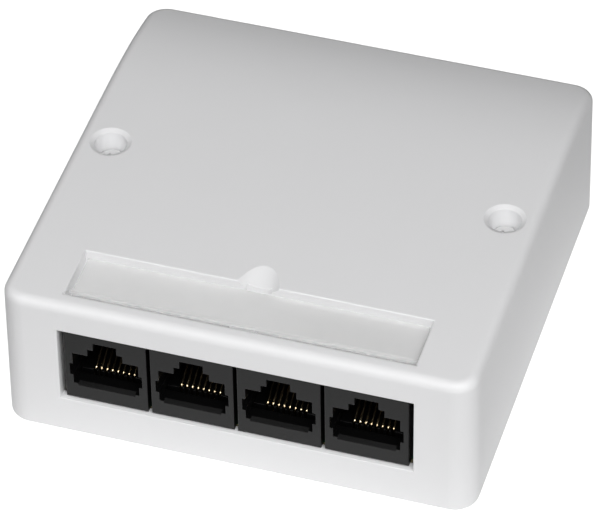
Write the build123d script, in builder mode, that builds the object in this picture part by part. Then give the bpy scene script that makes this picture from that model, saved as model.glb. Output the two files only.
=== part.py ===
from build123d import *
import math
import os

# Surface-mount data outlet box with four modular jacks in its front wall.
# Millimetres. Origin: centre of the face that lies on the wall.
# +X runs to the right along the port wall, +Y away from the ports, +Z out from the wall.

# ---- driving dimensions ----------------------------------------------------------------
BOX = 86.0                  # side of the square outline, at the wall
HEIGHT = 30.0               # wall to flat top
WALL = 2.0                  # cover wall and roof thickness
DRAFT = 0.5                 # mould draft of the cover sides, degrees
CORNER_R = 4.5              # upright corners, seen from above
TOP_R = 1.8                 # rounding along the top edges
FRONT_R = 2.7               # rounding where the top meets the port wall
FOOT_R = 0.5                # rounding of the lower edge, which the cover rocks on
FALL_FROM = 10.0            # y where the top starts to fall towards the back
FALL = 3.3                  # how far the top has dropped at the back wall

# port wall
PORT_PITCH = 15.78
PORT_COUNT = 4
WINDOW_W = 64.4
WINDOW_LOW = 7.75
WINDOW_HIGH = 24.05
WINDOW_EDGE = 0.15          # softened outer edge of the window
JAMB_T = 1.7                # returns that stiffen both ends of the window
JAMB_BACK = -38.4
JAMB_FOOT = 5.3

# cover screws
SCREW_X = 36.6
SCREW_Y = 0.3
WELL_MOUTH_R = 3.8          # sloping shoulder at the mouth of the well
WELL_SHOULDER = 0.5
WELL_R = 2.95               # foot of the shoulder
WELL_FLOOR_R = 2.55         # foot of the taper, and bore around the head
WELL_DEPTH = 3.7
HEAD_H = 2.0
HEAD_R = 2.35
HEAD_ROOM = 0.1
HEAD_ROUND = 0.25           # head rounding, as a share of its height
TIP_BEVEL = 0.45            # tip bevel, as a share of the shank's radius
COVER_DRIVE = 2.0           # span of the cross recess
DRIVE_TURN = 45.0           # the cross stands at 45 degrees to the port wall
DRIVE_SLOT = 0.24           # arm width over span
DRIVE_DEPTH = 0.65          # recess depth over head height
SHANK_R = 1.45
SHANK_TIP = 2.2             # z of the screw's tip
SHANK_HOLE_R = 1.7
BOSS_R = 4.0
BOSS_FOOT = 5.3             # z where the cover's screw tube ends
BOSS_RIB = (4.6, 3.0)       # rib from the screw tube to the side wall
PILOT_R = 1.75
BASE_BOSS_R = 3.75
BASE_BOSS_TOP = 5.0

# label pocket and its window
POCKET_W = 63.2
POCKET_FRONT = -39.05
POCKET_BACK = -28.0
POCKET_FLOOR = 26.8
POCKET_SKIN = 1.5
POCKET_EDGE = 0.25          # rounding of the pocket's rim
POCKET_LIP = 0.8            # larger rounding along its front edge
PLATE_W = 62.0
PLATE_T = 1.5
PLATE_LOW = 27.1
PLATE_BACK = -28.2
PLATE_EDGE = 0.25           # bevel along the free edge
PIVOT_Y = -36.55
PIVOT_Z = PLATE_LOW + PLATE_T / 2
PIVOT_R = 0.5
PIVOT_PLAY = 0.06
PIVOT_DEPTH = 1.1
PIVOT_END_GAP = 0.1
STOP_W = 4.4                # nub in front of the plate's middle
STOP_BACK = -37.55
STOP_Z = 28.3
SCOOP_R = 5.2               # finger notch: a hollow sloping down to the window's free edge
SCOOP_BACK = -23.0
SCOOP_TILT = 20.0
SCOOP_LEN = 7.0
NAIL_SLOT = (4.6, 0.8)      # deeper slot at the notch's foot
CARD = (61.6, 9.1, 0.25)
CARD_Y = -32.8

# base plate
BASE_GAP = 0.25             # all round, inside the cover
BASE_T = 2.0
RIM_T = 1.5
RIM_TOP = 4.5
SLOT_SPACING = 60.3
SLOT_Y = 14.0
SLOT_W = 4.5
SLOT_LEN = 8.0
ENTRY_W = 24.0
ENTRY_L = 14.0
ENTRY_Y = 28.0
ENTRY_R = 3.0
ENTRY_COLLAR = (1.5, 1.2)   # width and height of the collar
SLOT_RING = (2.0, 0.8)      # width and height of the ring round a wall slot
TIE_Y = 16.5
TIE_PITCH = 9.8
TIE_W = 6.0
TIE_H = 3.0
TIE_DEPTH = 2.0
TIE_BAR = 1.2
RIB_T = 1.6                 # ribs under the front of the board
RIB_LEN = 4.0
RIB_FRONT = -39.4
RIB_GAP = 0.05
PILOT_FLOOR = 1.2           # z where the cover screws' pilot holes end
BREAKOUT_W = 18.0
BREAKOUT_TOP = 11.0
BREAKOUT_SKIN = 0.8
SCORE = 0.35

# circuit board
BOARD_W = 63.0
BOARD_FRONT = -40.4
BOARD_BACK = 7.5
BOARD_T = 1.6
BOARD_TOP = 7.75
BOARD_LOW = BOARD_TOP - BOARD_T
BOARD_SCREW_X = 27.5
BOARD_SCREW_ROWS = (-21.4, 3.5)
PILLAR_R = 3.2
BOARD_HOLE_R = 1.4
BOARD_SHANK_R = 1.2
BOARD_HEAD_R = 2.3
BOARD_HEAD_H = 1.7
BOARD_DRIVE = 2.5
BOARD_SCREW_TIP = 2.6
BOARD_PILOT_PLAY = 0.03
BOARD_PILOT_SPARE = 0.4
BOARD_CORNER_R = 1.0

# modular jack, drawn about its own centre line x = 0
JACK_W = 15.14
JACK_FACE = -42.3
JACK_BACK = -25.3
JACK_LOW = 8.1
JACK_HIGH = 23.7
MOUTH_W = 12.1
MOUTH_LOW = 11.65
MOUTH_HIGH = 18.85
STEP_W = 6.45
STEP_HIGH = 20.4
LATCH_W = 4.3
LATCH_HIGH = 22.1
EAR_W = 13.3
EAR_LOW = 13.6
EAR_HIGH = 16.3
LATCH_DEPTH = 12.0
CHIN_T = 2.9
CHANNEL_W = 12.1
CHANNEL_LOW = 8.9
LEAD_IN = 0.45
POST_X = 5.715
POST_Y = -33.4
POST_R = 1.5
POST_HOLE_R = 1.6
POST_TIP = 5.2
FOOT_W = 1.6
FOOT_LEN = 12.0
FOOT_Y = -31.85
SILL_INSET = 0.8
FLOOR_INSET = 1.0
JACK_EDGE = 0.2             # rounding round the jack's face

# contact wires and the comb that holds them
WIRES = 8
WIRE_PITCH = 1.016
WIRE_R = 0.23
WIRE_RUN_Z = 9.45
TAIL_ROWS = (-27.6, -30.14)
TAIL_TIP = 4.9
TAIL_HOLE_R = 0.45
WIRE_BEND_Y = -37.6
WIRE_BEND_Z = 11.45
WIRE_END = (-28.3, 16.4)
WIRE_BEND_R = 0.6
COMB_W = 11.9
COMB_FRONT = -38.2
COMB_BACK = -25.4
COMB_LOW = 9.0
COMB_TOP = 11.6
COMB_SLOT_W = 0.62
COMB_SLOT_TOP = 9.9
COMB_NOSE = 1.5
COMB_GAP = 0.5              # groove length behind a tail
TAIL_ROOM = 0.7
STOP_T = 1.5
STOP_TOP = 18.7

# punch-down block, drawn about its own centre line x = 0
IDC_W = 13.0
IDC_FRONT = -17.5
IDC_BACK = -1.0
IDC_FOOT_H = 3.0
TOWER_X = 4.75
TOWER_W = 3.2
TOWER_TOP = 19.0
IDC_PITCH = 4.0
IDC_PER_SIDE = 4
WIRE_SLOT_W = 1.2
WIRE_SLOT_DEPTH = 7.0
FLARE_W = 2.4
FLARE_D = 1.4
BLADE_POCKET = (0.6, 2.9)
BLADE = (0.4, 2.6)
BLADE_LOW = 7.9
BLADE_TOP = 16.6
BLADE_SLIT_W = 0.35
BLADE_SLIT_LOW = 11.0
PIN_W = 0.6
PIN_TIP = 4.9
PIN_HOLE_R = 0.5

port_x = [(i - (PORT_COUNT - 1) / 2) * PORT_PITCH for i in range(PORT_COUNT)]
wire_x = [(i - (WIRES - 1) / 2) * WIRE_PITCH for i in range(WIRES)]
idc_y = [(IDC_FRONT + IDC_BACK) / 2 + (i - (IDC_PER_SIDE - 1) / 2) * IDC_PITCH for i in range(IDC_PER_SIDE)]
screw_spots = [(-SCREW_X, SCREW_Y), (SCREW_X, SCREW_Y)]
board_screw_spots = [(x, y) for x in (-BOARD_SCREW_X, BOARD_SCREW_X) for y in BOARD_SCREW_ROWS]
blade_spots = [(x, y) for x in (-TOWER_X, TOWER_X) for y in idc_y]
seat_z = HEIGHT - WELL_DEPTH - HEAD_H

os.makedirs("parts", exist_ok=True)


def save(part, name):
    part.label = name
    export_step(part, f"parts/{name}.step")


def tail_row(i):
    """Neighbouring wires end in two staggered rows of board holes."""
    return TAIL_ROWS[i % 2]


def side_profile(top, overrun):
    """Outline in the YZ plane: flat top, then a cubic fall towards the back."""
    ramp = BOX / 2 - FALL_FROM
    end_y = BOX / 2 + overrun
    drop = FALL * ((end_y - FALL_FROM) / ramp) ** 3
    third = (end_y - FALL_FROM) / 3
    with BuildLine() as outline:
        Polyline((end_y, top - drop), (end_y, -overrun), (-BOX, -overrun), (-BOX, top), (FALL_FROM, top))
        Bezier(
            (FALL_FROM, top),
            (FALL_FROM + third, top),
            (FALL_FROM + 2 * third, top),
            (end_y, top - drop),
        )
    return outline.line


# ---- cover -----------------------------------------------------------------------------
with BuildPart() as cavity:
    with BuildSketch():
        RectangleRounded(BOX - 2 * WALL, BOX - 2 * WALL, CORNER_R - WALL)
    extrude(amount=HEIGHT, taper=DRAFT)
    with BuildSketch(Plane.YZ):
        add(side_profile(HEIGHT - WALL, 1.0))
        make_face()
    extrude(amount=BOX, both=True, mode=Mode.INTERSECT)

with BuildPart() as top_cover:
    with BuildSketch():
        RectangleRounded(BOX, BOX, CORNER_R)
    extrude(amount=HEIGHT + 1, taper=DRAFT)
    with BuildSketch(Plane.YZ):
        add(side_profile(HEIGHT, 1.0))
        make_face()
    extrude(amount=BOX, both=True, mode=Mode.INTERSECT)
    top_face = top_cover.faces().sort_by(Axis.Z)[-1]
    fall_face = top_cover.faces().filter_by(GeomType.BEZIER) + top_cover.faces().filter_by(GeomType.BSPLINE)
    seam = top_face.edges().filter_by(Axis.X).sort_by(Axis.Y)[-1]
    top_loop = [
        e
        for e in top_face.edges() + fall_face.edges()
        if (e.center() - seam.center()).length > 0.01
    ]
    fillet(top_loop, TOP_R)
    # the edge over the port wall is rounder than the others
    front_top_y = -BOX / 2 + HEIGHT * math.tan(math.radians(DRAFT))
    with BuildSketch(Plane.YZ) as round_front:
        with BuildLine():
            Polyline(
                (-BOX / 2, 0),
                (front_top_y, HEIGHT),
                (BOX, HEIGHT),
                (BOX, 0),
                close=True,
            )
        make_face()
        fillet(round_front.vertices().sort_by(Axis.Y)[1], FRONT_R)
    extrude(amount=BOX, both=True, mode=Mode.INTERSECT)
    fillet(top_cover.faces().sort_by(Axis.Z)[0].edges(), FOOT_R)
    add(cavity.part, mode=Mode.SUBTRACT)
    # roof thickened under the label pocket
    pocket_len = POCKET_BACK - POCKET_FRONT
    block_back = POCKET_BACK + POCKET_SKIN
    block_front = -BOX / 2 + WALL / 2
    with BuildSketch(Plane.XY.offset(POCKET_FLOOR - POCKET_SKIN)):
        with Locations((0, (block_front + block_back) / 2)):
            Rectangle(POCKET_W + 2 * POCKET_SKIN, block_back - block_front)
    extrude(amount=HEIGHT - WALL - POCKET_FLOOR + POCKET_SKIN)
    # screw tubes, each tied to its side wall by a rib
    with BuildSketch(Plane.XY.offset(BOSS_FOOT)):
        with Locations(*screw_spots):
            Circle(BOSS_R)
        for side in (-1, 1):
            with Locations((side * (SCREW_X + BOSS_RIB[0] / 2), SCREW_Y)):
                Rectangle(*BOSS_RIB)
    extrude(amount=HEIGHT - WALL / 2 - BOSS_FOOT)
    # returns at both ends of the port window
    with BuildSketch(Plane.XY.offset(JAMB_FOOT)):
        for side in (-1, 1):
            with Locations((side * (WINDOW_W + JAMB_T) / 2, (block_front + JAMB_BACK) / 2)):
                Rectangle(JAMB_T, JAMB_BACK - block_front)
    extrude(amount=HEIGHT - WALL / 2 - JAMB_FOOT)
    # port window
    with BuildSketch(Plane.XZ.offset(BOX / 2 + 1)):
        with Locations((0, (WINDOW_LOW + WINDOW_HIGH) / 2)):
            Rectangle(WINDOW_W, WINDOW_HIGH - WINDOW_LOW)
    extrude(amount=-(WALL + 2), mode=Mode.SUBTRACT)
    port_face = top_cover.faces().filter_by(lambda f: f.normal_at().Y < -0.99).sort_by(Axis.Y)[0]
    fillet(port_face.inner_wires()[0].edges(), WINDOW_EDGE)
    # label pocket, the nub in front of its plate, and the finger notch behind
    with BuildSketch(Plane.XY.offset(POCKET_FLOOR)):
        with Locations((0, (POCKET_FRONT + POCKET_BACK) / 2)):
            Rectangle(POCKET_W, pocket_len)
    extrude(amount=HEIGHT, mode=Mode.SUBTRACT)
    pocket_rim = top_cover.faces().sort_by(Axis.Z)[-1].inner_wires()[0].edges().sort_by(Axis.Y)
    fillet(pocket_rim[1:], POCKET_EDGE)
    with BuildSketch(Plane.YZ):
        with BuildLine():
            Polyline(
                (POCKET_FRONT, HEIGHT - POCKET_LIP),
                (POCKET_FRONT, HEIGHT + 1),
                (POCKET_FRONT - POCKET_LIP, HEIGHT + 1),
                (POCKET_FRONT - POCKET_LIP, HEIGHT),
            )
            RadiusArc((POCKET_FRONT - POCKET_LIP, HEIGHT), (POCKET_FRONT, HEIGHT - POCKET_LIP), POCKET_LIP)
        make_face()
    extrude(amount=POCKET_W / 2 + POCKET_EDGE, both=True, mode=Mode.SUBTRACT)
    with BuildSketch(Plane.XY.offset(POCKET_FLOOR)):
        with Locations((0, (POCKET_FRONT + STOP_BACK) / 2)):
            Rectangle(STOP_W, STOP_BACK - POCKET_FRONT)
    extrude(amount=STOP_Z - POCKET_FLOOR)
    scoop_plane = Plane(
        origin=(0, SCOOP_BACK, HEIGHT),
        x_dir=(1, 0, 0),
        z_dir=(0, -math.cos(math.radians(SCOOP_TILT)), -math.sin(math.radians(SCOOP_TILT))),
    )
    with BuildSketch(scoop_plane):
        with Locations((0, SCOOP_R)):
            Circle(SCOOP_R)
    extrude(amount=SCOOP_LEN, mode=Mode.SUBTRACT)
    with BuildSketch(Plane.XY.offset(POCKET_FLOOR)):
        with Locations((0, POCKET_BACK + NAIL_SLOT[1] / 2)):
            Rectangle(*NAIL_SLOT)
    extrude(amount=HEIGHT - POCKET_FLOOR, mode=Mode.SUBTRACT)
    # pivot bores in the pocket's end walls
    with BuildSketch(Plane.YZ):
        with Locations((PIVOT_Y, PIVOT_Z)):
            Circle(PIVOT_R + PIVOT_PLAY)
    extrude(amount=POCKET_W / 2 + PIVOT_DEPTH, both=True, mode=Mode.SUBTRACT)
    # screw wells: sloping shoulder, taper, straight bore for the head, clearance hole for the shank
    for top_z, depth, mouth_r, foot_r in (
        (HEIGHT, WELL_SHOULDER, WELL_MOUTH_R, WELL_R),
        (HEIGHT - WELL_SHOULDER, WELL_DEPTH - WELL_SHOULDER, WELL_R, WELL_FLOOR_R),
    ):
        with BuildSketch(Plane.XY.offset(top_z)):
            with Locations(*screw_spots):
                Circle(mouth_r)
        extrude(amount=-depth, taper=math.degrees(math.atan((mouth_r - foot_r) / depth)), mode=Mode.SUBTRACT)
    with BuildSketch(Plane.XY.offset(seat_z)):
        with Locations(*screw_spots):
            Circle(WELL_FLOOR_R)
    extrude(amount=HEAD_H + HEAD_ROOM, mode=Mode.SUBTRACT)
    with BuildSketch():
        with Locations(*screw_spots):
            Circle(SHANK_HOLE_R)
    extrude(amount=seat_z + HEAD_ROOM, mode=Mode.SUBTRACT)
    # breakout for a cable run along the wall: thinned from inside, scored outside
    inner_back = BOX / 2 - WALL
    with BuildSketch(Plane.XZ.offset(-(inner_back - 1))):
        with Locations((0, BREAKOUT_TOP / 2)):
            Rectangle(BREAKOUT_W, BREAKOUT_TOP)
    extrude(amount=-(1 + WALL - BREAKOUT_SKIN), mode=Mode.SUBTRACT)
    with BuildSketch(Plane.XZ.offset(-(BOX / 2 - SCORE))):
        with Locations((0, BREAKOUT_TOP / 2)):
            Rectangle(BREAKOUT_W, BREAKOUT_TOP)
        with Locations((0, BREAKOUT_TOP / 2 - SCORE)):
            Rectangle(BREAKOUT_W - 2 * SCORE, BREAKOUT_TOP, mode=Mode.SUBTRACT)
    extrude(amount=-1, mode=Mode.SUBTRACT)
save(top_cover.part, "top_cover")

# ---- label window and card ---------------------------------------------------------------
with BuildPart() as label_window:
    with BuildSketch(Plane.YZ):
        with BuildLine():
            Polyline(
                (PIVOT_Y, PLATE_LOW),
                (PLATE_BACK, PLATE_LOW),
                (PLATE_BACK, PLATE_LOW + PLATE_T),
                (PIVOT_Y, PLATE_LOW + PLATE_T),
            )
            RadiusArc((PIVOT_Y, PLATE_LOW), (PIVOT_Y, PLATE_LOW + PLATE_T), PLATE_T / 2)
        make_face()
    extrude(amount=PLATE_W / 2, both=True)
    chamfer(label_window.edges().filter_by(Axis.X).sort_by(Axis.Y)[-2:].sort_by(Axis.Z)[-1], PLATE_EDGE)
    with BuildSketch(Plane.YZ):
        with Locations((PIVOT_Y, PIVOT_Z)):
            Circle(PIVOT_R)
    extrude(amount=POCKET_W / 2 + PIVOT_DEPTH - PIVOT_END_GAP, both=True)
save(label_window.part, "label_window")

with BuildPart() as label_card:
    with BuildSketch(Plane.XY.offset(POCKET_FLOOR)):
        with Locations((0, CARD_Y)):
            Rectangle(CARD[0], CARD[1])
    extrude(amount=CARD[2])
save(label_card.part, "label_card")


# ---- screws ------------------------------------------------------------------------------
def pan_screw(x, y, seat, tip, head_r, head_h, shank_r, drive):
    """Pan-head screw standing point down, with a cross recess."""
    with BuildPart() as screw:
        with BuildSketch(Plane.XY.offset(seat)):
            with Locations((x, y)):
                Circle(head_r)
        extrude(amount=head_h)
        fillet(screw.edges().sort_by(Axis.Z)[-1], head_h * HEAD_ROUND)
        with BuildSketch(Plane.XY.offset(seat)):
            with Locations((x, y)):
                Circle(shank_r)
        extrude(amount=tip - seat)
        chamfer(screw.edges().sort_by(Axis.Z)[0], shank_r * TIP_BEVEL)
        with BuildSketch(Plane.XY.offset(seat + head_h)):
            with Locations(Location((x, y), DRIVE_TURN)):
                Rectangle(drive, drive * DRIVE_SLOT)
                Rectangle(drive * DRIVE_SLOT, drive)
        extrude(amount=-head_h * DRIVE_DEPTH, mode=Mode.SUBTRACT)
    return screw.part


for side, (sx, sy) in zip(("left", "right"), screw_spots):
    cover_screw = pan_screw(sx, sy, seat_z, SHANK_TIP, HEAD_R, HEAD_H, SHANK_R, COVER_DRIVE)
    save(cover_screw, f"cover_screw_{side}")

board_screws = Compound(
    children=[
        pan_screw(x, y, BOARD_TOP, BOARD_SCREW_TIP, BOARD_HEAD_R, BOARD_HEAD_H, BOARD_SHANK_R, BOARD_DRIVE)
        for x, y in board_screw_spots
    ]
)
save(board_screws, "board_screws")

# ---- base plate --------------------------------------------------------------------------
base_side = BOX - 2 * (WALL + BASE_GAP)
base_corner = CORNER_R - WALL - BASE_GAP / 2
with BuildPart() as base_plate:
    with BuildSketch():
        RectangleRounded(base_side, base_side, base_corner)
    extrude(amount=BASE_T)
    # stiffening rim, lowered where the breakout lets a cable in
    with BuildSketch(Plane.XY.offset(BASE_T)):
        RectangleRounded(base_side, base_side, base_corner)
        RectangleRounded(base_side - 2 * RIM_T, base_side - 2 * RIM_T, base_corner / 2, mode=Mode.SUBTRACT)
        with Locations((0, base_side / 2)):
            Rectangle(BREAKOUT_W, 4 * RIM_T, mode=Mode.SUBTRACT)
    extrude(amount=RIM_TOP - BASE_T)
    # board pillars and bosses for the cover screws
    with BuildSketch(Plane.XY.offset(BASE_T)):
        with Locations(*board_screw_spots):
            Circle(PILLAR_R)
    extrude(amount=BOARD_LOW - BASE_T)
    with BuildSketch(Plane.XY.offset(BASE_T)):
        with Locations(*screw_spots):
            Circle(BASE_BOSS_R)
    extrude(amount=BASE_BOSS_TOP - BASE_T)
    # support ribs under the front of the board
    with BuildSketch(Plane.XY.offset(BASE_T)):
        for x in (-PORT_PITCH, 0, PORT_PITCH):
            with Locations((x, RIB_FRONT + RIB_LEN / 2)):
                Rectangle(RIB_T, RIB_LEN)
    extrude(amount=BOARD_LOW - RIB_GAP - BASE_T)
    # pilot holes
    with BuildSketch(Plane.XY.offset(BOARD_SCREW_TIP - BOARD_PILOT_SPARE)):
        with Locations(*board_screw_spots):
            Circle(BOARD_SHANK_R + BOARD_PILOT_PLAY)
    extrude(amount=HEIGHT, mode=Mode.SUBTRACT)
    with BuildSketch(Plane.XY.offset(PILOT_FLOOR)):
        with Locations(*screw_spots):
            Circle(PILOT_R)
    extrude(amount=HEIGHT, mode=Mode.SUBTRACT)
    # wall slots, with a raised ring round each
    with BuildSketch(Plane.XY.offset(BASE_T)):
        with Locations((-SLOT_SPACING / 2, SLOT_Y), (SLOT_SPACING / 2, SLOT_Y)):
            SlotOverall(SLOT_LEN + 2 * SLOT_RING[0], SLOT_W + 2 * SLOT_RING[0])
    extrude(amount=SLOT_RING[1])
    with BuildSketch():
        with Locations((-SLOT_SPACING / 2, SLOT_Y), (SLOT_SPACING / 2, SLOT_Y)):
            SlotOverall(SLOT_LEN, SLOT_W)
    extrude(amount=BASE_T + 1, mode=Mode.SUBTRACT)
    # cable entry, with a rounded collar
    with BuildSketch(Plane.XY.offset(BASE_T)):
        with Locations((0, ENTRY_Y)):
            RectangleRounded(
                ENTRY_W + 2 * ENTRY_COLLAR[0], ENTRY_L + 2 * ENTRY_COLLAR[0], ENTRY_R + ENTRY_COLLAR[0]
            )
    extrude(amount=ENTRY_COLLAR[1])
    with BuildSketch():
        with Locations((0, ENTRY_Y)):
            RectangleRounded(ENTRY_W, ENTRY_L, ENTRY_R)
    extrude(amount=BASE_T + 2, mode=Mode.SUBTRACT)
    # bridges for cable ties, one per cable
    for i in range(PORT_COUNT):
        tie_x = (i - (PORT_COUNT - 1) / 2) * TIE_PITCH
        with BuildSketch(Plane.XZ.offset(-(TIE_Y - TIE_DEPTH / 2))):
            with Locations((tie_x, BASE_T + TIE_H / 2)):
                Rectangle(TIE_W, TIE_H)
            with Locations((tie_x, BASE_T + (TIE_H - TIE_BAR) / 2)):
                Rectangle(TIE_W - 2 * TIE_BAR, TIE_H - TIE_BAR, mode=Mode.SUBTRACT)
        extrude(amount=-TIE_DEPTH)
save(base_plate.part, "base_plate")

# ---- circuit board -----------------------------------------------------------------------
with BuildPart() as circuit_board:
    with BuildSketch(Plane.XY.offset(BOARD_LOW)):
        with Locations((0, (BOARD_FRONT + BOARD_BACK) / 2)):
            RectangleRounded(BOARD_W, BOARD_BACK - BOARD_FRONT, BOARD_CORNER_R)
        with Locations(*board_screw_spots):
            Circle(BOARD_HOLE_R, mode=Mode.SUBTRACT)
        for px in port_x:
            with Locations((px - POST_X, POST_Y), (px + POST_X, POST_Y)):
                Circle(POST_HOLE_R, mode=Mode.SUBTRACT)
            with Locations(*[(px + wx, tail_row(i)) for i, wx in enumerate(wire_x)]):
                Circle(TAIL_HOLE_R, mode=Mode.SUBTRACT)
            with Locations(*[(px + bx, by) for bx, by in blade_spots]):
                Circle(PIN_HOLE_R, mode=Mode.SUBTRACT)
    extrude(amount=BOARD_T)
save(circuit_board.part, "circuit_board")

# ---- modular jack --------------------------------------------------------------------------
with BuildPart() as jack_housing:
    with BuildSketch(Plane.XY.offset(JACK_LOW)):
        with Locations((0, (JACK_FACE + JACK_BACK) / 2)):
            Rectangle(JACK_W, JACK_BACK - JACK_FACE)
    extrude(amount=JACK_HIGH - JACK_LOW)
    fillet(jack_housing.faces().sort_by(Axis.Y)[0].edges(), JACK_EDGE)
    # plug cavity, open at the back until the comb closes it
    with BuildSketch(Plane.XZ.offset(-JACK_FACE)):
        with Locations((0, (MOUTH_LOW + MOUTH_HIGH) / 2)):
            Rectangle(MOUTH_W, MOUTH_HIGH - MOUTH_LOW)
    extrude(amount=-(JACK_BACK - JACK_FACE), mode=Mode.SUBTRACT)
    with BuildSketch(Plane.XZ.offset(-JACK_FACE)):
        with Locations((0, (MOUTH_HIGH + STEP_HIGH) / 2)):
            Rectangle(STEP_W, STEP_HIGH - MOUTH_HIGH)
        with Locations((0, (STEP_HIGH + LATCH_HIGH) / 2)):
            Rectangle(LATCH_W, LATCH_HIGH - STEP_HIGH)
        with Locations((0, (EAR_LOW + EAR_HIGH) / 2)):
            Rectangle(EAR_W, EAR_HIGH - EAR_LOW)
    extrude(amount=-LATCH_DEPTH, mode=Mode.SUBTRACT)
    # sloped sill at the mouth
    with BuildSketch(Plane.YZ):
        with BuildLine():
            Polyline(
                (JACK_FACE, MOUTH_LOW),
                (JACK_FACE, MOUTH_LOW - LEAD_IN),
                (JACK_FACE + 2 * LEAD_IN, MOUTH_LOW),
                close=True,
            )
        make_face()
    extrude(amount=MOUTH_W / 2 - SILL_INSET, both=True, mode=Mode.SUBTRACT)
    # channel for the comb, behind the chin
    chin_back = JACK_FACE + CHIN_T
    with BuildSketch(Plane.XY.offset(CHANNEL_LOW)):
        with Locations((0, (chin_back + JACK_BACK) / 2)):
            Rectangle(CHANNEL_W, JACK_BACK - chin_back)
    extrude(amount=MOUTH_LOW - CHANNEL_LOW, mode=Mode.SUBTRACT)
    # open floor where the wire tails go down
    tail_front = min(TAIL_ROWS) - TAIL_ROOM
    with BuildSketch(Plane.XY.offset(JACK_LOW)):
        with Locations((0, (tail_front + JACK_BACK) / 2)):
            Rectangle(CHANNEL_W - 2 * FLOOR_INSET, JACK_BACK - tail_front)
    extrude(amount=CHANNEL_LOW - JACK_LOW, mode=Mode.SUBTRACT)
    # feet on the board, and snap posts through it
    with BuildSketch(Plane.XY.offset(BOARD_TOP)):
        for x in (-(JACK_W - FOOT_W) / 2, (JACK_W - FOOT_W) / 2):
            with Locations((x, FOOT_Y)):
                Rectangle(FOOT_W, FOOT_LEN)
    extrude(amount=JACK_LOW - BOARD_TOP)
    with BuildSketch(Plane.XY.offset(POST_TIP)):
        with Locations((-POST_X, POST_Y), (POST_X, POST_Y)):
            Circle(POST_R)
    extrude(amount=JACK_LOW - POST_TIP)

with BuildPart() as jack_insert:
    with BuildSketch(Plane.XY.offset(COMB_LOW)):
        with Locations((0, (COMB_FRONT + COMB_BACK) / 2)):
            Rectangle(COMB_W, COMB_BACK - COMB_FRONT)
    extrude(amount=COMB_TOP - COMB_LOW)
    # upright back that closes the housing
    with BuildSketch(Plane.XY.offset(COMB_TOP)):
        with Locations((0, COMB_BACK - STOP_T / 2)):
            Rectangle(COMB_W, STOP_T)
    extrude(amount=STOP_TOP - COMB_TOP)
    # one groove per wire, running up the nose of the comb
    with BuildSketch(Plane.XY.offset(COMB_LOW)):
        for i, wx in enumerate(wire_x):
            groove_back = tail_row(i) + COMB_GAP
            with Locations((wx, (COMB_FRONT + groove_back) / 2)):
                Rectangle(COMB_SLOT_W, groove_back - COMB_FRONT)
    extrude(amount=COMB_SLOT_TOP - COMB_LOW, mode=Mode.SUBTRACT)
    with BuildSketch(Plane.XY.offset(COMB_LOW)):
        for wx in wire_x:
            with Locations((wx, COMB_FRONT + COMB_NOSE / 2)):
                Rectangle(COMB_SLOT_W, COMB_NOSE)
    extrude(amount=COMB_TOP - COMB_LOW, mode=Mode.SUBTRACT)


def contact_wire(wx, tail_y):
    """One spring wire: tail, run under the comb, bend over its nose, free end rising to the rear."""
    with BuildPart() as wire:
        with BuildLine() as path:
            FilletPolyline(
                (wx, tail_y, TAIL_TIP),
                (wx, tail_y, WIRE_RUN_Z),
                (wx, WIRE_BEND_Y, WIRE_RUN_Z),
                (wx, WIRE_BEND_Y, WIRE_BEND_Z),
                (wx, *WIRE_END),
                radius=WIRE_BEND_R,
            )
        with BuildSketch(Plane(origin=path.line @ 0, z_dir=path.line % 0)):
            Circle(WIRE_R)
        sweep()
    return wire.part


# ---- punch-down block ----------------------------------------------------------------------
with BuildPart() as idc_block:
    idc_len = IDC_BACK - IDC_FRONT
    idc_mid = (IDC_FRONT + IDC_BACK) / 2
    with BuildSketch(Plane.XY.offset(BOARD_TOP)):
        with Locations((0, idc_mid)):
            Rectangle(IDC_W, idc_len)
    extrude(amount=IDC_FOOT_H)
    with BuildSketch(Plane.XY.offset(BOARD_TOP + IDC_FOOT_H)):
        with Locations((-TOWER_X, idc_mid), (TOWER_X, idc_mid)):
            Rectangle(TOWER_W, idc_len)
    extrude(amount=TOWER_TOP - BOARD_TOP - IDC_FOOT_H)
    # slots for the conductors, flared at the top
    with BuildSketch(Plane.YZ):
        for y in idc_y:
            with Locations((y, TOWER_TOP - WIRE_SLOT_DEPTH / 2)):
                Rectangle(WIRE_SLOT_W, WIRE_SLOT_DEPTH)
            with BuildLine():
                Polyline(
                    (y - FLARE_W / 2, TOWER_TOP),
                    (y + FLARE_W / 2, TOWER_TOP),
                    (y, TOWER_TOP - FLARE_D - FLARE_W / 2),
                    close=True,
                )
            make_face()
    extrude(amount=IDC_W, both=True, mode=Mode.SUBTRACT)
    # pockets for the blades
    with BuildSketch(Plane.XY.offset(BOARD_TOP)):
        with Locations(*blade_spots):
            Rectangle(*BLADE_POCKET)
    extrude(amount=TOWER_TOP - BOARD_TOP, mode=Mode.SUBTRACT)


def idc_blade(x, y):
    """Forked blade: a slit grips the conductor, a pin goes through the board."""
    with BuildPart() as blade:
        with BuildSketch(Plane.YZ.offset(x)):
            with Locations((y, (BLADE_LOW + BLADE_TOP) / 2)):
                Rectangle(BLADE[1], BLADE_TOP - BLADE_LOW)
            with Locations((y, (PIN_TIP + BLADE_LOW) / 2)):
                Rectangle(PIN_W, BLADE_LOW - PIN_TIP)
            with Locations((y, (BLADE_SLIT_LOW + BLADE_TOP) / 2)):
                Rectangle(BLADE_SLIT_W, BLADE_TOP - BLADE_SLIT_LOW, mode=Mode.SUBTRACT)
        extrude(amount=BLADE[0] / 2, both=True)
    return blade.part


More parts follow.
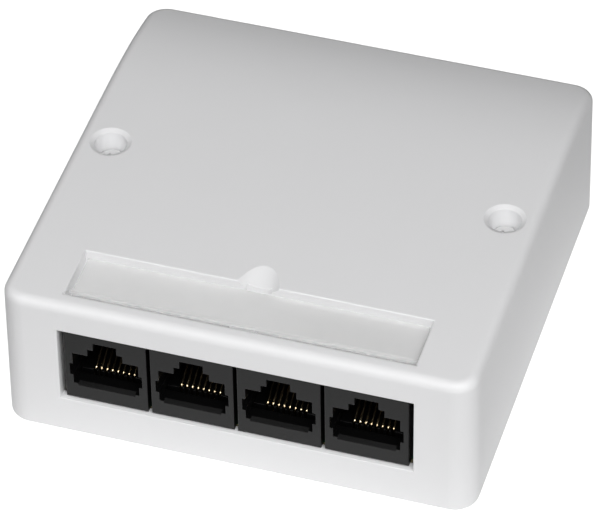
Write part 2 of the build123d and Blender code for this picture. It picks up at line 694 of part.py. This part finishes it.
# ---- one set of jack parts and one punch-down block per port ------------------------------
moulded_parts = {
    "jack_housing": jack_housing.part,
    "jack_insert": jack_insert.part,
    "idc_block": idc_block.part,
}
for number, px in enumerate(port_x, start=1):
    for stem, shape in moulded_parts.items():
        save(shape.moved(Location((px, 0, 0))), f"{stem}_{number}")
    wires = [contact_wire(px + wx, tail_row(i)) for i, wx in enumerate(wire_x)]
    save(Compound(children=wires), f"jack_contacts_{number}")
    blades = [idc_blade(px + bx, by) for bx, by in blade_spots]
    save(Compound(children=blades), f"idc_contacts_{number}")
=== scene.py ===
import math

import bmesh
import bpy
from mathutils import Matrix, Vector


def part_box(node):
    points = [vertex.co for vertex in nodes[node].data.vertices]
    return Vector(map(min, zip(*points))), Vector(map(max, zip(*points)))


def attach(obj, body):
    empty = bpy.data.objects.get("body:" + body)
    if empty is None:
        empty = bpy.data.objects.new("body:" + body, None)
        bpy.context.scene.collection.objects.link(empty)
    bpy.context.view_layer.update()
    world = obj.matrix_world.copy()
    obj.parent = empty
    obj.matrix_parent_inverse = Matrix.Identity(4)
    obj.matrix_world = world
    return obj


# Looks for a surface-mount outlet box with four modular jacks. Metres, in the frame of the CAD model.

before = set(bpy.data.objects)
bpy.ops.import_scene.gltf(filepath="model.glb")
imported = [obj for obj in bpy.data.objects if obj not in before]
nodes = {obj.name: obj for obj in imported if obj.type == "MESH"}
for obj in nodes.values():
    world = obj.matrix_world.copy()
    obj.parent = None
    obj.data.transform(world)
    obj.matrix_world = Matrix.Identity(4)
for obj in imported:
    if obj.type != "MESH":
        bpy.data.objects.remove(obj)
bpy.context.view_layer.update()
MM = 0.001
PORTS = (1, 2, 3, 4)

# ---- colours and finishes -------------------------------------------------------------------------
# plastics and paper as display colours, 0 to 255; metals, board and dark plastic as linear values
COVER_SHADE = (241, 241, 242)
BASE_SHADE = (236, 236, 235)
# lighter colour for the edges of plastic and enamel: a painted edge highlight
PAINTED_EDGE_HIGHLIGHT = (246, 246, 246)
ENAMEL_SHADE = (226, 226, 226)
IDC_SHADE = (222, 221, 214)
# the jack's edge colour is a painted highlight, lighter than its black plastic
JACK_BLACK, JACK_EDGE_HIGHLIGHT = (0.0022, 0.0022, 0.0023, 1), (0.008, 0.008, 0.0085, 1)
CARD_SHADES = (220, 220, 219), (224, 224, 223)
STOCK_SHADES = (236, 236, 230), (243, 243, 238)
PRINT_SHADES = (226, 227, 222), (234, 235, 230)
PLATE_TONES = (0.835, 0.837, 0.839, 1), (0.85, 0.85, 0.85, 1)
PLATE_PASS = (0.97, 0.97, 0.97, 1)      # share of the lamps' light the plate lets through
GOLD = (0.95, 0.80, 0.55, 1), (0.85, 0.66, 0.40, 1)
BRONZE = (0.72, 0.70, 0.66, 1), (0.58, 0.53, 0.45, 1)
STEEL = (0.62, 0.62, 0.63, 1), (0.50, 0.49, 0.47, 1)
ZINC = (0.62, 0.62, 0.64, 1), (0.52, 0.51, 0.49, 1)
TIN = (0.75, 0.74, 0.72, 1), (0.62, 0.60, 0.57, 1)
BOARD_GREEN = (0.010, 0.105, 0.040, 1), (0.014, 0.135, 0.052, 1)
TRACK_GREEN = (0.020, 0.190, 0.075, 1), (0.026, 0.225, 0.092, 1)
GLASS_FIBRE = (0.42, 0.38, 0.22, 1), (0.55, 0.50, 0.32, 1)
PAIR_COLOURS = (
    (0.04, 0.12, 0.42, 1),
    (0.75, 0.22, 0.03, 1),
    (0.03, 0.28, 0.09, 1),
    (0.20, 0.08, 0.03, 1),
)
INK_SHADE = 0.85                # darkest patch of an ink, as a share of its colour
MOULD_ROUGH = 0.42
EDGE_POLISH = 0.08              # edges are this much less rough than the faces
FLOW_ROUGH, SPECK_ROUGH = 0.012, 0.02
EDGE_CLEAR, FACE_CLEAR = 0.65, 0.4      # how clear the label plate's edges and faces are
PLASTIC_IOR, PLATE_IOR = 1.5, 1.57

# ---- sizes of the fine details, in millimetres --------------------------------------------------
WIRES = 8
WIRE_PITCH = 1.016              # of the jack's wires, where the tracks start
TRACK_SPREAD = 1.42             # pitch the tracks widen to
TRACK_W = 0.42
TRACK_H = 0.05
TRACK_START = 0.6               # tracks start this far under the jack, and end as far under the block
TRACK_LEAD = 1.6                # straight run before the outer tracks bend
TRACK_STAGGER = 0.25            # each track outwards bends this much later
TRACK_RUNOUT = 0.4              # extra length of the slant, which keeps the bend open
VIA_BORE, VIA_R = 0.18, 0.45
VIA_OFF, VIA_STEP = 0.7, 0.9    # past the bend, and every other via this much further
PRINT_W, PRINT_H = 0.18, 0.03
PRINT_MARGIN = 0.45             # printed frame to the block it goes round
PRINT_EDGE = 0.3                # printed frame to the board's edge
FOOT_H = 3.0                    # height of the block's foot, on which the colour card lies
CARD_HALF, CARD_T = 2.9, 0.1
CARD_INSET = 0.5
PAIRS = 4
CELL_PITCH, CELL_GAP = 4.0, 0.3
SOLID_CELL = ((-1.35, 1.35),)
STRIPED_CELL = ((-1.35, -0.5), (0.5, 1.35))
LAND_X, LAND_Y = (-27.5, 27.5), (-21.4, 3.5)
LAND_BORE, LAND_R = 1.45, 3.0
RING_STEPS = 40
RING_OUTER_LEAN, RING_INNER_LEAN = 0.97, 1.04   # upper radius to lower radius, outside and inside
ROOF_T = 2.0
EJECTOR_X, EJECTOR_Y = (-24.0, -8.0, 8.0, 24.0), (-18.0, 2.0)
EJECTOR_IN, EJECTOR_OUT, EJECTOR_H = 1.9, 2.15, 0.06
SCREW_HEAD = 2.0                # height of the painted head
BARE_BAND, BARE_RAGGED = 0.2, 0.3   # height the enamel ends at above the shank, and its unevenness
THREAD_LOW, THREAD_HIGH = 3.3, 13.0
SHANK_R, CREST_R, PITCH = 1.45, 1.67, 0.75
THREAD_SINK = 0.05              # the ridge's foot lies this far inside the shank
FOOT_SPAN, CREST_SPAN = 0.36, 0.05  # half widths of the ridge at its foot and crest, in pitches

# ---- studio ---------------------------------------------------------------------------------------
FLOOR_HALF = 3.0                        # metres
FLOOR_CELLS = 24
FLOOR_DROP = 0.02                       # below the object's foot, millimetres
FLOOR_BOUNCE = (0.35, 0.35, 0.35, 1)    # what the floor sends back on to the object
FLOOR_POOL = 0.08                       # radius of the brighter floor round the object, metres
POOL_GLOW = 0.53                        # light that pool sends up
FLOOR_LIFT = 0.65                       # extra white seen by the camera only
PAPER_TONES = (0.93, 0.93, 0.93, 1), (0.95, 0.95, 0.95, 1)
LAMP_AIM = (0, 0, 0.015)
# name: azimuth, elevation, distance and side in metres, power in watts
LAMPS = {
    "key": (30.0, 50.0, 0.75, 0.4, 3.1),
    "top": (5.0, 50.0, 0.75, 0.4, 0.4),
    "front": (-20.0, 35.0, 0.75, 0.4, 0.85),
    "left": (-50.0, 40.0, 0.75, 0.4, 0.85),
    "right": (60.0, 30.0, 0.75, 0.4, 0.85),
    "right_low": (70.0, 4.0, 0.15, 0.06, 0.0105),
    "back_left": (-140.0, 40.0, 0.75, 0.4, 0.35),
}
CAM_AZIMUTH, CAM_ELEVATION, CAM_ROLL = map(math.radians, (17.638, 43.103, -0.972))
CAM_DISTANCE = 0.81033
CAM_SHIFT = (-0.001327, 0.008022)
CAM_LENS, CAM_SENSOR, CAM_CLIP = 267.06, 36.0, 0.01


# ---- materials ------------------------------------------------------------------------------
def linear(r, g, b):
    """Display colour, 0 to 255, to the linear colour a shader takes."""
    def channel(c):
        c /= 255.0
        return c / 12.92 if c <= 0.04045 else ((c + 0.055) / 1.055) ** 2.4
    return (channel(r), channel(g), channel(b), 1.0)


class Shader:
    """A Principled material whose colour, roughness and bump come from object-space noise."""

    def __init__(self, name):
        self.material = bpy.data.materials.new(name)
        self.material.use_nodes = True
        self.tree = self.material.node_tree
        self.tree.nodes.clear()
        self.output = self.add("ShaderNodeOutputMaterial")
        self.surface = self.add("ShaderNodeBsdfPrincipled")
        self.link(self.surface.outputs[0], self.output.inputs["Surface"])
        self.place = self.add("ShaderNodeTexCoord").outputs["Object"]

    def add(self, kind, **settings):
        node = self.tree.nodes.new(kind)
        for key, value in settings.items():
            setattr(node, key, value)
        return node

    def link(self, source, target):
        self.tree.links.new(source, target)

    def set(self, **values):
        for key, value in values.items():
            self.surface.inputs[key.replace("_", " ")].default_value = value

    def noise(self, size_mm, detail=2.0, stretch=(1, 1, 1)):
        """Noise whose features are about size_mm across, longer along an axis by its stretch."""
        mapping = self.add("ShaderNodeMapping")
        mapping.inputs["Scale"].default_value = [1 / s for s in stretch]
        self.link(self.place, mapping.inputs["Vector"])
        texture = self.add("ShaderNodeTexNoise")
        texture.inputs["Scale"].default_value = 1 / (size_mm * MM)
        texture.inputs["Detail"].default_value = detail
        self.link(mapping.outputs[0], texture.inputs["Vector"])
        return texture.outputs["Fac"]

    def maths(self, operation, a, b=None, clamp=False):
        node = self.add("ShaderNodeMath", operation=operation, use_clamp=clamp)
        for socket, value in zip(node.inputs, (a, b)):
            if value is None:
                continue
            if isinstance(value, (int, float)):
                socket.default_value = value
            else:
                self.link(value, socket)
        return node.outputs[0]

    def spread(self, value, low, high, start=0.3, end=0.7):
        """Maps a noise value from start..end to low..high."""
        node = self.add("ShaderNodeMapRange")
        limits = {"From Min": start, "From Max": end, "To Min": low, "To Max": high}
        for key, number in limits.items():
            node.inputs[key].default_value = number
        self.link(value, node.inputs["Value"])
        return node.outputs["Result"]

    def mix(self, factor, a, b):
        """Colour a where factor is 0, colour b where it is 1. Each is a colour or a socket."""
        node = self.add("ShaderNodeMix", data_type="RGBA")
        sockets = (node.inputs["Factor"], node.inputs[6], node.inputs[7])
        for socket, value in zip(sockets, (factor, a, b)):
            if isinstance(value, bpy.types.NodeSocket):
                self.link(value, socket)
            else:
                socket.default_value = value
        return node.outputs[2]

    def rounded(self, radius_mm, samples=4):
        """Normal with each sharp edge softened by radius_mm, and a mask that is 1 on such an edge."""
        bevel = self.add("ShaderNodeBevel", samples=samples)
        bevel.inputs["Radius"].default_value = radius_mm * MM
        face = self.add("ShaderNodeNewGeometry").outputs["Normal"]
        dot = self.add("ShaderNodeVectorMath", operation="DOT_PRODUCT")
        self.link(bevel.outputs[0], dot.inputs[0])
        self.link(face, dot.inputs[1])
        edge = self.spread(dot.outputs["Value"], 1.0, 0.0, start=0.8, end=0.995)
        return bevel.outputs[0], edge

    def bump(self, height, depth_mm, normal=None):
        node = self.add("ShaderNodeBump")
        node.inputs["Strength"].default_value = 1.0
        node.inputs["Distance"].default_value = depth_mm * MM
        self.link(height, node.inputs["Height"])
        if normal is not None:
            self.link(normal, node.inputs["Normal"])
        return node.outputs[0]

    def feed(self, **sockets):
        for key, socket in sockets.items():
            self.link(socket, self.surface.inputs[key.replace("_", " ")])


def moulded(name, colour, highlight_colour, roughness,
            grain_mm=0.3, depth_mm=0.0009, edge_mm=0.2, cloud=0.004):
    """Injection-moulded plastic: even colour, spark-eroded grain, soft, slightly polished edges with
    a painted highlight.
    """
    s = Shader(name)
    dark = [c * (1 - cloud) for c in colour[:3]] + [1.0]
    light = [min(1.0, c * (1 + cloud)) for c in colour[:3]] + [1.0]
    normal, edge = s.rounded(edge_mm)
    body = s.mix(s.spread(s.noise(14.0, detail=3.0), 0.0, 1.0), dark, light)
    # edges mixed towards the lighter edge colour: a painted edge highlight
    highlighted_tint = s.mix(s.maths("MULTIPLY", edge, 0.5), body, highlight_colour)
    grain = s.noise(grain_mm, detail=3.0)
    dull = s.spread(s.noise(9.0), roughness - FLOW_ROUGH, roughness + FLOW_ROUGH)
    rough = s.maths("ADD", dull, s.spread(grain, -SPECK_ROUGH, SPECK_ROUGH))
    polished = s.maths("SUBTRACT", rough, s.maths("MULTIPLY", edge, EDGE_POLISH))
    s.feed(Base_Color=highlighted_tint, Roughness=polished, Normal=s.bump(grain, depth_mm, normal))
    s.set(IOR=PLASTIC_IOR)
    return s.material


def paper(name, dark, light, fibre_mm):
    """Uncoated card or printing ink: fibres, and a slow change of tone."""
    s = Shader(name)
    fibre = s.noise(fibre_mm, detail=4.0, stretch=(3, 1, 1))
    tone = s.mix(s.spread(s.noise(6.0), 0.0, 1.0), dark, light)
    s.feed(Base_Color=tone, Roughness=s.spread(fibre, 0.72, 0.9), Normal=s.bump(fibre, 0.01))
    return s.material


def clear_plate():
    """Clear moulded plate: polished faces with hairlines, and milky edges that catch the light."""
    s = Shader("window_plastic")
    hairline = s.noise(0.2, detail=3.0, stretch=(14, 1, 1))
    haze = s.noise(2.5)
    tone = s.mix(s.spread(haze, 0.0, 1.0), *PLATE_TONES)
    rough = s.maths("ADD", s.spread(hairline, 0.03, 0.10), s.spread(haze, 0.0, 0.04))
    face = s.add("ShaderNodeSeparateXYZ")
    s.link(s.add("ShaderNodeTexCoord").outputs["Normal"], face.inputs[0])
    upright = s.maths("ABSOLUTE", face.outputs["Z"])
    clear = s.spread(upright, EDGE_CLEAR, FACE_CLEAR, start=0.8, end=0.97)
    scratched = s.bump(hairline, 0.0005)
    s.feed(Base_Color=tone, Roughness=rough, Transmission_Weight=clear, Normal=scratched)
    s.set(IOR=PLATE_IOR)
    # lamp light passes straight through, so the card below is lit without caustics
    rays = s.add("ShaderNodeLightPath").outputs
    open_way = s.maths("MAXIMUM", rays["Is Shadow Ray"], rays["Is Diffuse Ray"])
    through = s.add("ShaderNodeBsdfTransparent")
    through.inputs["Color"].default_value = PLATE_PASS
    blend = s.add("ShaderNodeMixShader")
    s.link(open_way, blend.inputs[0])
    s.link(s.surface.outputs[0], blend.inputs[1])
    s.link(through.outputs[0], blend.inputs[2])
    s.link(blend.outputs[0], s.output.inputs["Surface"])
    return s.material


def metal(name, colour, worn, roughness, brush=(1, 1, 8), brush_mm=0.12, edge_mm=0.08):
    """Plated metal: drawn lines along one axis, tarnish in patches, brighter edges."""
    s = Shader(name)
    normal, edge = s.rounded(edge_mm)
    lines = s.noise(brush_mm, detail=2.0, stretch=brush)
    patch = s.noise(1.8, detail=3.0)
    tone = s.mix(s.spread(patch, 0.0, 1.0), colour, worn)
    fine = s.spread(lines, roughness - 0.06, roughness + 0.06)
    rough = s.maths("ADD", fine, s.spread(patch, -0.05, 0.05))
    s.feed(Base_Color=tone, Roughness=rough, Normal=s.bump(lines, 0.003, normal))
    s.set(Metallic=1.0)
    return s.material


def painted_screw(head_low_z):
    """White enamel on the head with a painted highlight on its edges, zinc plate on the shank below
    it.
    """
    s = Shader("screw_white")
    height = s.add("ShaderNodeSeparateXYZ")
    s.link(s.place, height.inputs[0])
    wander = s.maths("MULTIPLY", s.noise(0.8), BARE_RAGGED * MM)
    ragged = s.maths("ADD", height.outputs["Z"], wander)
    bare = s.maths("LESS_THAN", ragged, head_low_z + BARE_BAND * MM)
    normal, edge = s.rounded(0.15)
    peel = s.noise(0.7, detail=2.0)
    patch = s.noise(0.2, detail=2.0)
    # enamel edges mixed towards the lighter edge colour: a painted edge highlight
    white = s.mix(s.maths("MULTIPLY", edge, 0.4), linear(*ENAMEL_SHADE), linear(*PAINTED_EDGE_HIGHLIGHT))
    steel = s.mix(s.spread(patch, 0.0, 1.0), *ZINC)
    rough = s.spread(peel, 0.26, 0.36)
    peeled = s.bump(peel, 0.004, normal)
    s.feed(Base_Color=s.mix(bare, white, steel), Roughness=rough, Metallic=bare, Normal=peeled)
    return s.material


def laminate(name, dark, light):
    """Solder-resisted board: green over a faint weave, bare fibre on the cut edges."""
    s = Shader(name)
    face = s.add("ShaderNodeSeparateXYZ")
    s.link(s.add("ShaderNodeTexCoord").outputs["Normal"], face.inputs[0])
    flat = s.maths("GREATER_THAN", s.maths("ABSOLUTE", face.outputs["Z"]), 0.7)
    across = s.noise(0.45, detail=1.0, stretch=(6, 1, 1))
    along = s.noise(0.45, detail=1.0, stretch=(1, 6, 1))
    weave = s.maths("MULTIPLY", s.maths("ADD", across, along), 0.5)
    resist = s.mix(s.spread(weave, 0.0, 1.0, 0.4, 0.6), dark, light)
    fibre = s.mix(s.spread(weave, 0.0, 1.0, 0.4, 0.6), *GLASS_FIBRE)
    s.feed(
        Base_Color=s.mix(flat, fibre, resist),
        Roughness=s.spread(s.noise(3.0), 0.2, 0.3),
        Normal=s.bump(weave, 0.006),
    )
    return s.material


def finish_nodes(material, *names):
    for name in names:
        slots = nodes[name].data.materials
        slots.clear()
        slots.append(material)


# painted edge highlight shared by the white plastics
edge_highlight_white = linear(*PAINTED_EDGE_HIGHLIGHT)
cover_plastic = moulded("cover_plastic", linear(*COVER_SHADE), edge_highlight_white, MOULD_ROUGH)
base_plastic = moulded(
    "base_plastic", linear(*BASE_SHADE), edge_highlight_white, MOULD_ROUGH, grain_mm=0.4, depth_mm=0.004
)
# the jack's edges carry the painted highlight colour
jack_plastic = moulded(
    "jack_plastic", JACK_BLACK, JACK_EDGE_HIGHLIGHT, 0.3, grain_mm=0.22, edge_mm=0.16, cloud=0.06
)
idc_plastic = moulded("idc_plastic", linear(*IDC_SHADE), edge_highlight_white, 0.45, edge_mm=0.15)
contact_gold = metal("contact_gold", *GOLD, 0.16)
idc_metal = metal("idc_metal", *BRONZE, 0.32)
screw_steel = metal("screw_steel", *STEEL, 0.3, brush=(1, 1, 1))
solder_tin = metal("solder_tin", *TIN, 0.28, brush=(1, 1, 1), brush_mm=0.3)
board_laminate = laminate("board_laminate", *BOARD_GREEN)
track_resist = laminate("track_resist", *TRACK_GREEN)
card_paper = paper("card_paper", *[linear(*c) for c in CARD_SHADES], 0.35)
card_stock = paper("card_stock", *[linear(*c) for c in STOCK_SHADES], 0.3)
print_white = paper("print_white", *[linear(*c) for c in PRINT_SHADES], 0.1)
inks = [
    paper(f"ink_{i}", (*[c * INK_SHADE for c in colour[:3]], 1), colour, 0.2)
    for i, colour in enumerate(PAIR_COLOURS, start=1)
]
screw_enamel = painted_screw(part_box("cover_screw_left")[1].z - SCREW_HEAD * MM)

finish_nodes(cover_plastic, "top_cover")
finish_nodes(base_plastic, "base_plate")
finish_nodes(clear_plate(), "label_window")
finish_nodes(card_paper, "label_card")
finish_nodes(screw_enamel, "cover_screw_left", "cover_screw_right")
finish_nodes(screw_steel, "board_screws")
finish_nodes(board_laminate, "circuit_board")
for port in PORTS:
    finish_nodes(jack_plastic, f"jack_housing_{port}", f"jack_insert_{port}")
    finish_nodes(contact_gold, f"jack_contacts_{port}")
    finish_nodes(idc_plastic, f"idc_block_{port}")
    finish_nodes(idc_metal, f"idc_contacts_{port}")


# ---- fine details the CAD model leaves out -----------------------------------------------------
def piece(name, bm, material, body):
    """Turns a bmesh in the CAD frame into a piece that rides on a body."""
    mesh = bpy.data.meshes.new(name)
    bmesh.ops.recalc_face_normals(bm, faces=bm.faces)
    bm.to_mesh(mesh)
    bm.free()
    mesh.materials.append(material)
    obj = bpy.data.objects.new(name, mesh)
    bpy.context.scene.collection.objects.link(obj)
    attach(obj, body)
    return obj


def smooth(obj, angle=40.0):
    """Smooth shading that keeps edges sharper than the angle."""
    obj.data.shade_smooth()
    obj.data.set_sharp_from_angle(angle=math.radians(angle))


def slab(bm, low, high):
    """Box between two corners, in millimetres."""
    size = [(h - l) * MM for l, h in zip(low, high)]
    middle = [(h + l) / 2 * MM for l, h in zip(low, high)]
    matrix = Matrix.Translation(middle) @ Matrix.Diagonal((*size, 1.0))
    bmesh.ops.create_cube(bm, size=1.0, matrix=matrix)


def ring(bm, x, y, z, inner, outer, height, steps=24):
    """Flat washer with its lower face at z and leaning walls, in millimetres."""
    top = z + height
    profile = ((inner, z), (outer, z), (outer * RING_OUTER_LEAN, top), (inner * RING_INNER_LEAN, top))
    rows = []
    for radius, level in profile:
        row = []
        for i in range(steps):
            a = 2 * math.pi * i / steps
            place = (x + radius * math.cos(a), y + radius * math.sin(a), level)
            row.append(bm.verts.new([v * MM for v in place]))
        rows.append(row)
    for lower, upper in zip(rows, rows[1:] + rows[:1]):
        for i in range(steps):
            j = (i + 1) % steps
            bm.faces.new((lower[i], lower[j], upper[j], upper[i]))


def ribbon(bm, points, width, z, height):
    """Flat strip of constant width along a polyline, in millimetres."""
    half = width / 2
    lefts, rights = [], []
    for i, point in enumerate(points):
        here = Vector(point)
        before = Vector(points[max(i - 1, 0)])
        after = Vector(points[min(i + 1, len(points) - 1)])
        way = (after - before).normalized()
        side = Vector((-way.y, way.x)) * half
        lefts.append(here + side)
        rights.append(here - side)
    rows = []
    for line, level in ((rights, z), (lefts, z), (lefts, z + height), (rights, z + height)):
        rows.append([bm.verts.new((p.x * MM, p.y * MM, level * MM)) for p in line])
    for lower, upper in zip(rows, rows[1:] + rows[:1]):
        for i in range(len(points) - 1):
            bm.faces.new((lower[i], lower[i + 1], upper[i + 1], upper[i]))
    for end in (0, -1):
        bm.faces.new([row[end] for row in rows])


def thread(bm, x, y, steps=28):
    """Helical ridge round a cover screw's shank, tapering away at both ends, in millimetres."""
    count = int((THREAD_HIGH - THREAD_LOW) / PITCH * steps)
    foot = SHANK_R - THREAD_SINK
    rows = []
    for i in range(count + 1):
        a = 2 * math.pi * i / steps
        z = THREAD_LOW + PITCH * i / steps
        fade = min(1.0, i / steps, (count - i) / steps)
        tip = SHANK_R + (CREST_R - SHANK_R) * fade
        profile = ((foot, -FOOT_SPAN), (tip, -CREST_SPAN), (tip, CREST_SPAN), (foot, FOOT_SPAN))
        row = []
        for radius, rise in profile:
            place = (x + radius * math.cos(a), y + radius * math.sin(a), z + rise * PITCH)
            row.append(bm.verts.new([v * MM for v in place]))
        rows.append(row)
    for lower, upper in zip(rows, rows[1:]):
        for k in range(4):
            m = (k + 1) % 4
            bm.faces.new((lower[k], lower[m], upper[m], upper[k]))
    bm.faces.new(rows[0])
    bm.faces.new(list(reversed(rows[-1])))


def mm_box(name):
    """Lowest and highest corner of a CAD node, in millimetres."""
    low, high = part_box(name)
    return [v / MM for v in low], [v / MM for v in high]


board_high = mm_box("circuit_board")[1]
BOARD_TOP = board_high[2]
jacks = {port: mm_box(f"jack_housing_{port}") for port in PORTS}
blocks = {port: mm_box(f"idc_block_{port}") for port in PORTS}


def traces(port):
    """Eight tracks from the jack's tails to the punch-down block, each with a via."""
    centre = (jacks[port][0][0] + jacks[port][1][0]) / 2
    start_y, end_y = jacks[port][1][1] - TRACK_START, blocks[port][0][1] + TRACK_START
    tracks, vias = bmesh.new(), bmesh.new()
    for i in range(WIRES):
        step = i - (WIRES - 1) / 2
        near = centre + step * WIRE_PITCH
        far = centre + step * TRACK_SPREAD
        bend = start_y + TRACK_LEAD + TRACK_STAGGER * abs(step)
        turn = bend + abs(far - near) + TRACK_RUNOUT
        path = [(near, start_y), (near, bend), (far, turn), (far, end_y)]
        ribbon(tracks, path, TRACK_W, BOARD_TOP, TRACK_H)
        via_y = turn + VIA_OFF + VIA_STEP * (i % 2)
        ring(vias, far, via_y, BOARD_TOP, VIA_BORE, VIA_R, 2 * TRACK_H)
    piece(f"board_tracks_{port}", tracks, track_resist, "base")
    smooth(piece(f"board_vias_{port}", vias, solder_tin, "base"))


def outline(bm, low, high):
    """Printed frame round a part's footprint on the board."""
    x0, x1 = low[0] - PRINT_MARGIN, high[0] + PRINT_MARGIN
    y0, y1 = low[1] - PRINT_MARGIN, min(high[1] + PRINT_MARGIN, board_high[1] - PRINT_EDGE)
    corners = [(x0, y0), (x1, y0), (x1, y1), (x0, y1)]
    for a, b in zip(corners, corners[1:] + corners[:1]):
        ribbon(bm, [a, b], PRINT_W, BOARD_TOP, PRINT_H)


def colour_card(port):
    """Pair-colour card between the towers of a punch-down block: solid cells and striped cells."""
    low, high = blocks[port]
    centre = (low[0] + high[0]) / 2
    top = low[2] + FOOT_H
    bm = bmesh.new()
    under, over = top + CARD_T / 2, top + CARD_T + PRINT_H
    near, far = low[1] + CARD_INSET, high[1] - CARD_INSET
    slab(bm, (centre - CARD_HALF, near, top), (centre + CARD_HALF, far, top + CARD_T))
    for row in range(PAIRS):
        middle = (low[1] + high[1]) / 2 + (row - (PAIRS - 1) / 2) * CELL_PITCH
        for side in (-1, 1):
            bars = SOLID_CELL if (row + (side > 0)) % 2 else STRIPED_CELL
            inner, outer = sorted((centre + side * CELL_GAP, centre + side * (CARD_HALF - CELL_GAP)))
            for y0, y1 in bars:
                first = len(bm.faces)
                slab(bm, (inner, middle + y0, under), (outer, middle + y1, over))
                bm.faces.ensure_lookup_table()
                for face in bm.faces[first:]:
                    face.material_index = 1 + row
    obj = piece(f"colour_card_{port}", bm, card_stock, "base")
    for ink in inks:
        obj.data.materials.append(ink)


def ejector_marks():
    """Rings the ejector pins leave on the underside of the roof."""
    foot = mm_box("top_cover")[1][2] - ROOF_T - EJECTOR_H
    bm = bmesh.new()
    for x in EJECTOR_X:
        for y in EJECTOR_Y:
            ring(bm, x, y, foot, EJECTOR_IN, EJECTOR_OUT, 2 * EJECTOR_H, steps=RING_STEPS)
    smooth(piece("ejector_marks", bm, cover_plastic, "cover"))


def board_print():
    """Printed frames round the four punch-down blocks."""
    bm = bmesh.new()
    for port in PORTS:
        outline(bm, *blocks[port])
    piece("board_print", bm, print_white, "base")


def screw_lands():
    """Tinned rings under the heads of the board screws."""
    bm = bmesh.new()
    for x in LAND_X:
        for y in LAND_Y:
            ring(bm, x, y, BOARD_TOP, LAND_BORE, LAND_R, TRACK_H, steps=RING_STEPS)
    smooth(piece("screw_lands", bm, solder_tin, "base"))


def cover_screw_thread(side):
    low, high = mm_box(f"cover_screw_{side}")
    bm = bmesh.new()
    thread(bm, (low[0] + high[0]) / 2, (low[1] + high[1]) / 2)
    ridge = piece(f"cover_screw_thread_{side}", bm, screw_steel, f"screw_{side}")
    smooth(ridge, angle=50)


for port in PORTS:
    traces(port)
    colour_card(port)
board_print()
screw_lands()
ejector_marks()
for side in ("left", "right"):
    cover_screw_thread(side)


# ---- floor, light and camera ------------------------------------------------------------------
def floor():
    """Pale paper, white to the camera, that throws a pool of light back at the object."""
    bm = bmesh.new()
    bmesh.ops.create_grid(bm, x_segments=FLOOR_CELLS, y_segments=FLOOR_CELLS, size=FLOOR_HALF)
    mesh = bpy.data.meshes.new("studio_floor")
    bm.to_mesh(mesh)
    bm.free()
    sheet = bpy.data.objects.new("studio_floor", mesh)
    bpy.context.scene.collection.objects.link(sheet)
    sheet.location.z = -FLOOR_DROP * MM
    s = Shader("studio_paper")
    seen = s.add("ShaderNodeLightPath").outputs["Is Camera Ray"]
    pale = s.mix(s.spread(s.noise(900.0), 0.0, 1.0), *PAPER_TONES)
    tone = s.mix(seen, FLOOR_BOUNCE, pale)
    reach = s.add("ShaderNodeVectorMath", operation="LENGTH")
    s.link(s.place, reach.inputs[0])
    inner, outer = 0.5 * FLOOR_POOL, 1.5 * FLOOR_POOL
    pool = s.spread(reach.outputs["Value"], POOL_GLOW, 0.0, start=inner, end=outer)
    sent = s.maths("MULTIPLY", s.maths("SUBTRACT", 1.0, seen), pool)
    lift = s.maths("ADD", s.maths("MULTIPLY", seen, FLOOR_LIFT), sent)
    s.feed(Base_Color=tone, Roughness=s.spread(s.noise(40.0), 0.85, 0.95), Emission_Strength=lift)
    s.set(Emission_Color=(1, 1, 1, 1), Specular_IOR_Level=0.1)
    mesh.materials.append(s.material)


def softbox(name, azimuth, elevation, distance, size, power):
    """Square soft light. Azimuth 0 is in front of the ports, positive towards +X."""
    a, e = math.radians(azimuth), math.radians(elevation)
    way = Vector((math.sin(a) * math.cos(e), -math.cos(a) * math.cos(e), math.sin(e)))
    lamp = bpy.data.lights.new(name, "AREA")
    lamp.shape = "SQUARE"
    lamp.size = size
    lamp.energy = power
    obj = bpy.data.objects.new(name, lamp)
    obj.location = Vector(LAMP_AIM) + way * distance
    obj.rotation_euler = way.to_track_quat("Z", "Y").to_euler()
    bpy.context.scene.collection.objects.link(obj)


def dark_room():
    """The lamps and the floor give all the light."""
    world = bpy.data.worlds.new("studio_room")
    bpy.context.scene.world = world
    world.use_nodes = True
    world.node_tree.nodes["Background"].inputs["Strength"].default_value = 0.0


def camera():
    """Long lens, from the front and above, slightly rolled."""
    ca, sa = math.cos(CAM_AZIMUTH), math.sin(CAM_AZIMUTH)
    ce, se = math.cos(CAM_ELEVATION), math.sin(CAM_ELEVATION)
    back = Vector((sa * ce, -ca * ce, se))
    right = Vector((ca, sa, 0.0))
    up = back.cross(right)
    cr, sr = math.cos(CAM_ROLL), math.sin(CAM_ROLL)
    right, up = cr * right + sr * up, cr * up - sr * right
    place = CAM_SHIFT[0] * right + CAM_SHIFT[1] * up + CAM_DISTANCE * back
    data = bpy.data.cameras.new("view_camera")
    data.sensor_fit = "HORIZONTAL"
    data.sensor_width = CAM_SENSOR
    data.lens = CAM_LENS
    data.clip_start = CAM_CLIP
    obj = bpy.data.objects.new("view_camera", data)
    axes = Matrix((right, up, back)).transposed().to_4x4()
    obj.matrix_world = Matrix.Translation(place) @ axes
    bpy.context.scene.collection.objects.link(obj)
    bpy.context.scene.camera = obj


floor()
for name, setting in LAMPS.items():
    softbox(name, *setting)
dark_room()
camera()
view = bpy.context.scene.view_settings
view.view_transform = "Standard"
view.look = "None"
